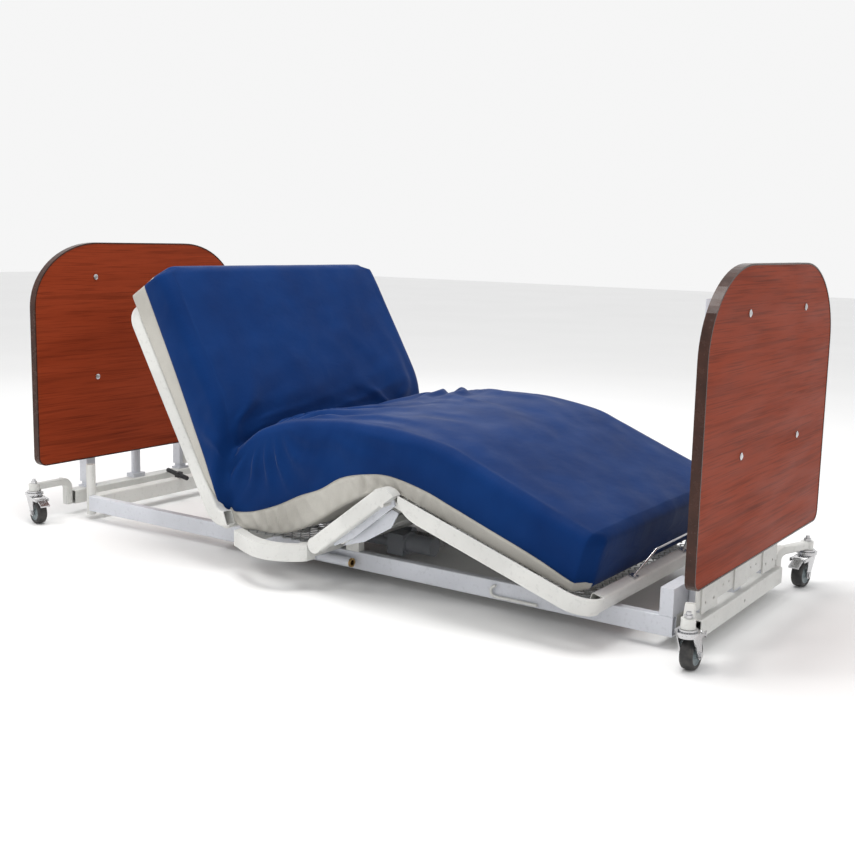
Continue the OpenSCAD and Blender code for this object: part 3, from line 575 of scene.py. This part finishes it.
def mattress_ring(sample, total, inset=0.0, shift=None):
    """Full cross-section at one sample: its points, their UVs in metres of cloth, their kinds, and
    whether it lies above the seam all round, as the innermost rings of an end face may."""
    t, bottom, seam_point, top, s = sample
    height = (seam_point - bottom).length + (top - seam_point).length
    seam = (seam_point - bottom).length
    from_end = min(s, total - s)
    corner = max(PLAN_CORNER - from_end, 0.0)
    half_width = half_width_at(t) - (PLAN_CORNER - math.sqrt(PLAN_CORNER ** 2 - corner ** 2))
    half = half_ring(height, seam, half_width, inset)
    up_direction = (top - bottom).normalized()
    points, uvs, kinds = [], [], []

    def place(side_sign, up, out, kind):
        push, lift = mattress_wrinkle(kind, t, s, up, out, side_sign, height, seam)
        if inset > 0.0 and kind != "sunk":
            push, lift = push * 0.3, lift * 0.3
        share = up / seam if up <= seam else 1.0
        xz = bottom + (seam_point - bottom) * share
        if up > seam:
            xz = seam_point + (top - seam_point) * ((up - seam) / (height - seam))
        xz = xz + up_direction * lift
        if shift is not None:
            xz = xz + shift
        points.append(Vector((xz[0], side_sign * (out + push), xz[1])))
        uvs.append((s, side_sign * (out + (up if kind in ("beige", "blue") else 0.0))))
        kinds.append(kind)

    for up, out, kind in half:
        place(-1, up, out, kind)
    for up, out, kind in reversed(half[1:-1]):
        place(1, up, out, kind)
    return points, uvs, kinds, inset > seam


def end_rings(sample, total, outward):
    """Rings from the flat end face, round its rim, to just short of the full cross-section."""
    rings = [mattress_ring(sample, total, inset) for inset in (0.055, 0.040)]
    for i in range(4):
        angle = math.pi / 2 * i / 4
        inset = END_ROUND * (1 - math.sin(angle))
        rings.append(mattress_ring(sample, total, inset, -outward * END_ROUND * (1 - math.cos(angle))))
    return rings


def mattress_piece(name, samples, total, closed_head, closed_foot):
    """One closed skin from the first sample to the last; free ends are rounded over, cuts are flat."""
    rings = [mattress_ring(sample, total) for sample in samples
             if not (closed_head and sample[4] <= END_ROUND)
             and not (closed_foot and total - sample[4] < END_ROUND)]
    if closed_head:
        outward = (samples[0][1] - samples[2][1]).normalized()
        rings = end_rings(samples[0], total, outward) + rings
    if closed_foot:
        outward = (samples[-1][1] - samples[-3][1]).normalized()
        rings = rings + end_rings(samples[-1], total, outward)[::-1]

    count = len(rings[0][0])
    vertices = [point for ring in rings for point in ring[0]]
    ring_uvs = [uv for ring in rings for uv in ring[1]]
    kinds = rings[0][2]
    faces, indices = [], []
    for i in range(len(rings) - 1):
        above_seam = rings[i][3] or rings[i + 1][3]
        for j in range(count):
            k = (j + 1) % count
            faces.append((i * count + j, i * count + k, (i + 1) * count + k, (i + 1) * count + j))
            indices.append(1 if {kinds[j], kinds[k]} <= {"blue", "top"} or above_seam else 0)
    for start in (0, (len(rings) - 1) * count):
        faces.append(tuple(range(start, start + count)))
        indices.append(1)
    piece = mesh_object(name, vertices, faces, [BEIGE_COVER, BLUE_COVER], indices, 60)
    layer = piece.data.uv_layers.new(name="cloth")
    for loop in piece.data.loops:
        layer.data[loop.index].uv = ring_uvs[loop.vertex_index]
    return piece


def make_mattress():
    samples = mattress_samples()
    total = samples[-1][4]
    seat_cut = int(SEAT_CUT * STEPS_PER_STATION)
    thigh_cut = int(THIGH_CUT * STEPS_PER_STATION)
    back = mattress_piece("mattress_back_and_seat", samples[:seat_cut + 1], total, True, False)
    thigh = mattress_piece("mattress_seat_and_thigh", samples[seat_cut:thigh_cut + 1], total, False, False)
    calf = mattress_piece("mattress_thigh_and_calf", samples[thigh_cut:], total, False, True)

    def on_line(xz):
        return (xz[0], 0, xz[1])

    on_line(back_point(0.30, 0.09))
    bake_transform(back)
    on_line(thigh_point(0.115, 0.12))
    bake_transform(thigh)
    on_line(thigh_point(0.175, 0.12))
    on_line(calf_point(0.13, 0.09))
    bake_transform(calf)
    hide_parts("mattress_back", "mattress_seat")
    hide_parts("mattress_thigh")
    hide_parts("mattress_calf")


# ------------------------------------------------------------ expanded-metal decks

MESH_BELOW_BAR_TOP = 0.0095
STRAND, STRAND_DEPTH = 0.0028, 0.0022
STRAND_TILT = 0.0004
PITCH_U, PITCH_Y = 0.016, 0.019
SQUARE_CORNER, BACK_CORNER, CALF_CORNER = 0.006, 0.037, 0.066


def expanded_metal(name, node, body, place, u_range, half_width, corner):
    """Zigzag strands that touch at their peaks, as slit and drawn sheet does.

    Each row is one strand across the deck; rows near a rounded end are shorter."""
    vertices, faces = [], []
    rows = int((u_range[1] - u_range[0]) / PITCH_U) - 1
    for row in range(rows + 1):
        centre = u_range[0] + PITCH_U * (row + 0.75)
        into_corner = max(centre + PITCH_U / 2 - (u_range[1] - corner), 0.0)
        reach = half_width - (corner - math.sqrt(max(corner ** 2 - into_corner ** 2, 0.0)))
        columns = int(2 * reach / PITCH_Y)
        start = len(vertices)
        for column in range(columns + 1):
            side = 1 if (column + row) % 2 else -1
            y = -columns * PITCH_Y / 2 + column * PITCH_Y
            u = centre + (PITCH_U / 2 - STRAND / 2) * side
            for du, dw in ((-0.5, -0.5), (0.5, -0.5), (0.5, 0.5), (-0.5, 0.5)):
                vertices.append(place(u + du * STRAND, y, dw * STRAND_DEPTH + STRAND_TILT * side))
            if column:
                a, b = start + 4 * (column - 1), start + 4 * column
                for k in range(4):
                    faces.append((a + k, a + (k + 1) % 4, b + (k + 1) % 4, b + k))
        last = start + 4 * columns
        faces.append((start, start + 1, start + 2, start + 3))
        faces.append((last + 3, last + 2, last + 1, last))
    piece = mesh_object(name, vertices, faces, [MATERIALS["mesh_steel"]], smooth_angle=20)
    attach(piece, body)
    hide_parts(node)


def make_decks():
    low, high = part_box("seat_mesh")
    half_width = high[1] - 0.001
    middle = (low[2] + high[2]) / 2

    def level(u, y, w):
        return (u, y, middle + w)

    def sloped(section):
        def place(u, y, w):
            xz = section(u, w - MESH_BELOW_BAR_TOP)
            return (xz[0], y, xz[1])
        return place

    expanded_metal("seat_lattice", "seat_mesh", "deck_frame", level, (low[0], high[0]),
                   half_width, SQUARE_CORNER)
    expanded_metal("back_lattice", "back_mesh", "back_section", sloped(back_point), (0.040, 0.670),
                   half_width, BACK_CORNER)
    expanded_metal("thigh_lattice", "thigh_mesh", "thigh_section", sloped(thigh_point), (0.040, 0.238),
                   half_width, SQUARE_CORNER)
    calf_half_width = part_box("calf_mesh")[1][1] - 0.001
    expanded_metal("calf_lattice", "calf_mesh", "calf_section", sloped(calf_point), (0.048, 0.579),
                   calf_half_width, CALF_CORNER)


# ------------------------------------------------------------ caster wheels

# Wheel sections, from one side to the other: (radius, distance from the wheel's middle)
HUB_PROFILE = [(0.0052, 0.0158), (0.0100, 0.0158), (0.0108, 0.0150), (0.0112, 0.0120), (0.0130, 0.0104),
               (0.0205, 0.0098), (0.0235, 0.0112), (0.0245, 0.0138), (0.0262, 0.0140), (0.0262, 0.0)]
TYRE_PROFILE = [(0.0258, 0.0), (0.0258, 0.0144), (0.0270, 0.0150), (0.0310, 0.0156), (0.0335, 0.0150),
                (0.0356, 0.0132), (0.0368, 0.0100), (0.0374, 0.0050), (0.0375, 0.0)]


def lathe(name, profile, material, turn, centre, segments=64):
    """Solid of revolution about the local Y axis; the profile is mirrored to the other side."""
    section = profile + [(r, -w) for r, w in reversed(profile) if w > 0]
    vertices, faces = [], []
    for i in range(segments):
        angle = 2 * math.pi * i / segments
        for radius, across in section:
            point = Vector((radius * math.cos(angle), across, radius * math.sin(angle)))
            vertices.append(turn @ point + centre)
    count = len(section)
    for i in range(segments):
        n = (i + 1) % segments
        for j in range(count):
            k = (j + 1) % count
            faces.append((i * count + j, i * count + k, n * count + k, n * count + j))
    return mesh_object(name, vertices, faces, [material], smooth_angle=30)


def make_wheel(corner):
    node = corner + "_wheel"
    low, high = (Vector(c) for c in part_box(node))
    centre = (low + high) / 2
    axis = Vector(JOINTS[corner + "_wheel_roll"]["axis"])
    turn = axis.to_track_quat("Y", "Z").to_matrix()
    tyre = lathe(corner + "_tyre", TYRE_PROFILE, MATERIALS["wheel_tyre"], turn, centre)
    hub = lathe(corner + "_hub", HUB_PROFILE, HUB_GREY, turn, centre)
    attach(tyre, node)
    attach(hub, node)
    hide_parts(node)


# ------------------------------------------------------------ scene

make_camera()
make_studio()
finish_cad_nodes()
make_mattress()
make_decks()
for corner in ("head_near", "head_far", "foot_near", "foot_far"):
    make_wheel(corner)
